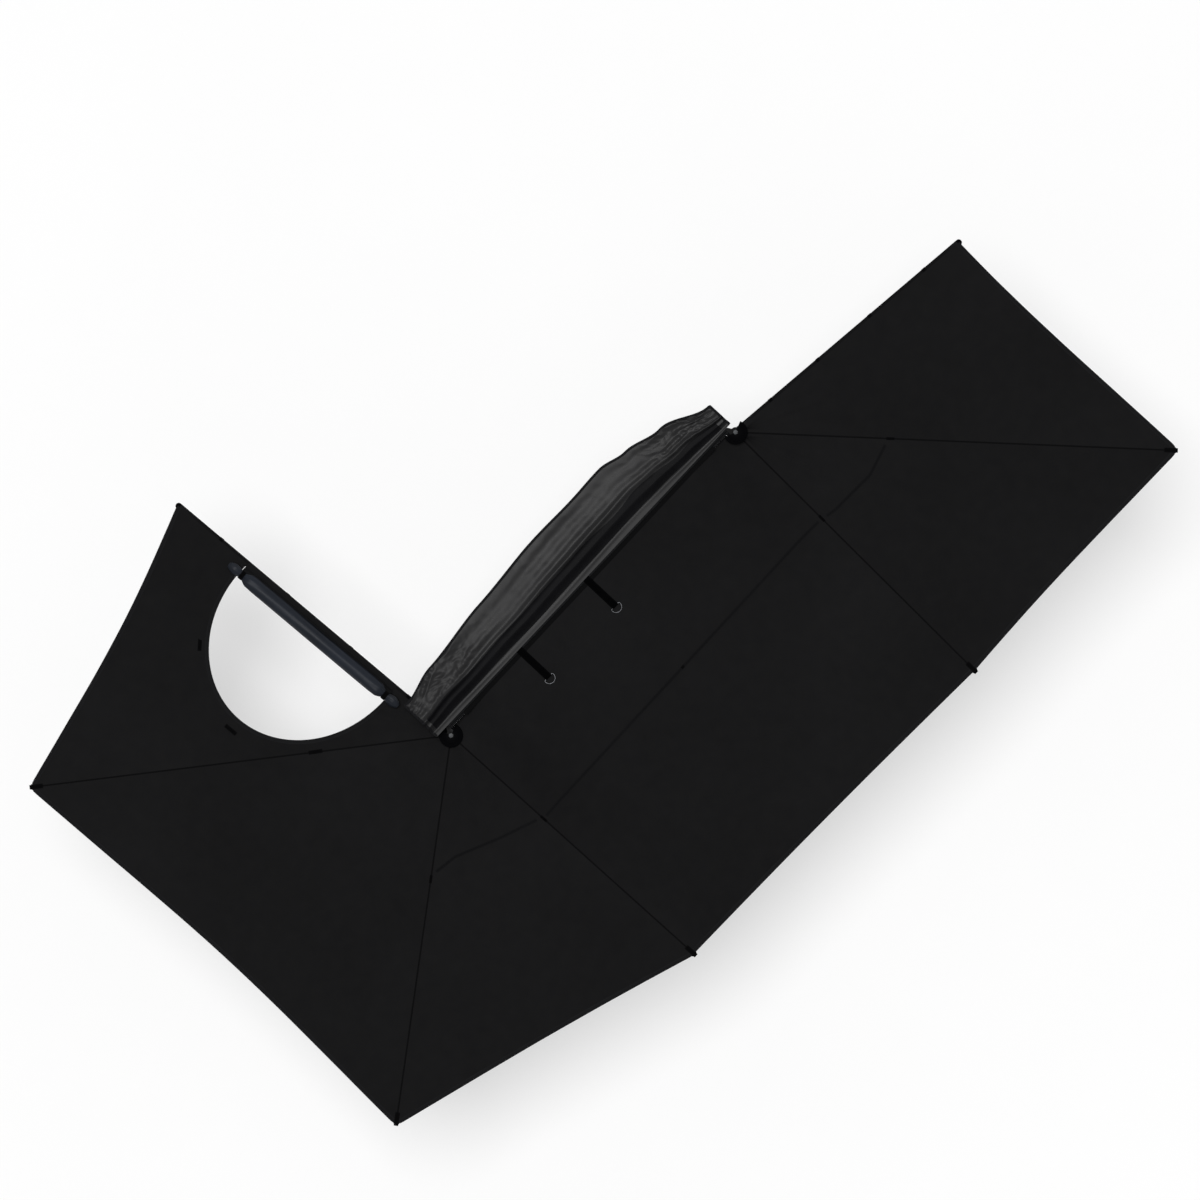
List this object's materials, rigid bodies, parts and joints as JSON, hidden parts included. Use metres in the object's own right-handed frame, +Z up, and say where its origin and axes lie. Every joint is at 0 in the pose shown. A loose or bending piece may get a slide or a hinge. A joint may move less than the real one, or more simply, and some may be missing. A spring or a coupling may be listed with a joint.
{
  "type": "vehicle side awning",
  "caption": "Self-supporting wrap-around vehicle awning: fabric panels on hinged arms, a back rail with rack brackets, a storage cover and a rolled tailgate flap.",
  "frame": {"origin": "middle of the foot of the middle rack bracket, where it rests on a cross bar", "axes": "+X forward along the back rail, +Y towards the vehicle, -Y outwards over the covered ground, +Z up"},
  "size_m": [6.0133, 4.057, 0.1962],
  "materials": {
    "rail": "black anodised, satin",
    "bracket": "black powder coat",
    "bright": "zinc plated",
    "arm": "black anodised, satin",
    "nylon": "moulded, matt",
    "canvas": "woven, matt",
    "cover": "coated, soft gloss, creased",
    "webbing": "woven webbing",
    "flap": "woven, rolled"
  },
  "bodies": {
    "frame": {"back_rail": "rail", "rear_hub_bracket": "bracket", "rear_king_pin": "bright", "rear_king_nut": "bright", "rear_hub_bolt_1": "bright", "rear_hub_bolt_2": "bright", "front_hub_bracket": "bracket", "front_king_pin": "bright", "front_king_nut": "bright", "front_hub_bolt_1": "bright", "front_hub_bolt_2": "bright", "mounting_bracket_rear": "bracket", "mounting_bolt_rear_1": "bright", "mounting_bolt_rear_2": "bright", "mounting_bracket_middle": "bracket", "mounting_bolt_middle_1": "bright", "mounting_bolt_middle_2": "bright", "mounting_bracket_front": "bracket", "mounting_bolt_front_1": "bright", "mounting_bolt_front_2": "bright", "canopy_main": "canvas", "strap_rear": "webbing", "strap_front": "webbing", "storage_cover": "cover"},
    "fourth_arm": {"knuckle_4": "nylon", "arm_4": "arm", "tip_cap_4": "nylon", "canopy_rear_1": "canvas"},
    "third_arm": {"knuckle_3": "nylon", "arm_3": "arm", "tip_cap_3": "nylon", "canopy_rear_2": "canvas"},
    "second_arm": {"knuckle_2": "nylon", "arm_2": "arm", "tip_cap_2": "nylon", "canopy_rear_3": "canvas", "cutout_tab_1": "webbing", "cutout_tab_2": "webbing", "cutout_tab_3": "webbing"},
    "first_arm": {"knuckle_1": "nylon", "arm_1": "arm", "tip_cap_1": "nylon", "rolled_flap": "flap", "flap_tie_inner": "webbing", "flap_tie_outer": "webbing"},
    "fifth_arm": {"knuckle_5": "nylon", "arm_5": "arm", "tip_cap_5": "nylon", "canopy_front_1": "canvas"},
    "sixth_arm": {"knuckle_6": "nylon", "arm_6": "arm", "tip_cap_6": "nylon", "canopy_front_2": "canvas"},
    "seventh_arm": {"knuckle_7": "nylon", "arm_7": "arm", "tip_cap_7": "nylon"},
    "rear_ring": {"strap_ring_rear": "bright"},
    "front_ring": {"strap_ring_front": "bright"}
  },
  "joints": [
    {"name": "fold_arm_4", "type": "hinge", "parent": "frame", "child": "fourth_arm", "pos_m": [-1.205, -0.1166, 0], "axis": [0, 0, 1], "range_deg": [0, 88.8], "deforming": ["canopy_main"]},
    {"name": "fold_arm_3", "type": "hinge", "parent": "fourth_arm", "child": "third_arm", "pos_m": [-1.205, -0.1166, 0], "axis": [0, 0, 1], "range_deg": [0, 56.1], "deforming": ["canopy_rear_1"]},
    {"name": "fold_arm_2", "type": "hinge", "parent": "third_arm", "child": "second_arm", "pos_m": [-1.205, -0.1166, 0], "axis": [0, 0, 1], "range_deg": [0, 74.9], "deforming": ["canopy_rear_2"]},
    {"name": "fold_arm_1", "type": "hinge", "parent": "second_arm", "child": "first_arm", "pos_m": [-1.205, -0.1166, 0], "axis": [0, 0, 1], "range_deg": [0, 47.1], "deforming": ["canopy_rear_3", "cutout_tab_1", "cutout_tab_2", "cutout_tab_3", "rolled_flap", "flap_tie_inner", "flap_tie_outer"]},
    {"name": "fold_arm_5", "type": "hinge", "parent": "frame", "child": "fifth_arm", "pos_m": [1.205, -0.1166, 0], "axis": [0, 0, -1], "range_deg": [0, 88.3]},
    {"name": "fold_arm_6", "type": "hinge", "parent": "fifth_arm", "child": "sixth_arm", "pos_m": [1.205, -0.1166, 0], "axis": [0, 0, -1], "range_deg": [0, 42.5], "deforming": ["canopy_front_1"]},
    {"name": "fold_arm_7", "type": "hinge", "parent": "sixth_arm", "child": "seventh_arm", "pos_m": [1.205, -0.1166, 0], "axis": [0, 0, -1], "range_deg": [0, 42.7], "deforming": ["canopy_front_2"]},
    {"name": "swing_ring_rear", "type": "hinge", "parent": "frame", "child": "rear_ring", "pos_m": [-0.56997, -0.2966, 0.1201], "axis": [-1, 0, 0], "range_deg": [0, 150]},
    {"name": "swing_ring_front", "type": "hinge", "parent": "frame", "child": "front_ring", "pos_m": [-0.00602, -0.2966, 0.1201], "axis": [-1, 0, 0], "range_deg": [0, 150]}
  ],
  "couplings": [
    {"joint": "fold_arm_3", "follows": "fold_arm_4", "ratio": 0.63176},
    {"joint": "fold_arm_2", "follows": "fold_arm_4", "ratio": 0.84347},
    {"joint": "fold_arm_1", "follows": "fold_arm_4", "ratio": 0.53041},
    {"joint": "fold_arm_5", "follows": "fold_arm_4", "ratio": 0.99437},
    {"joint": "fold_arm_6", "follows": "fold_arm_4", "ratio": 0.4786},
    {"joint": "fold_arm_7", "follows": "fold_arm_4", "ratio": 0.48085}
  ]
}
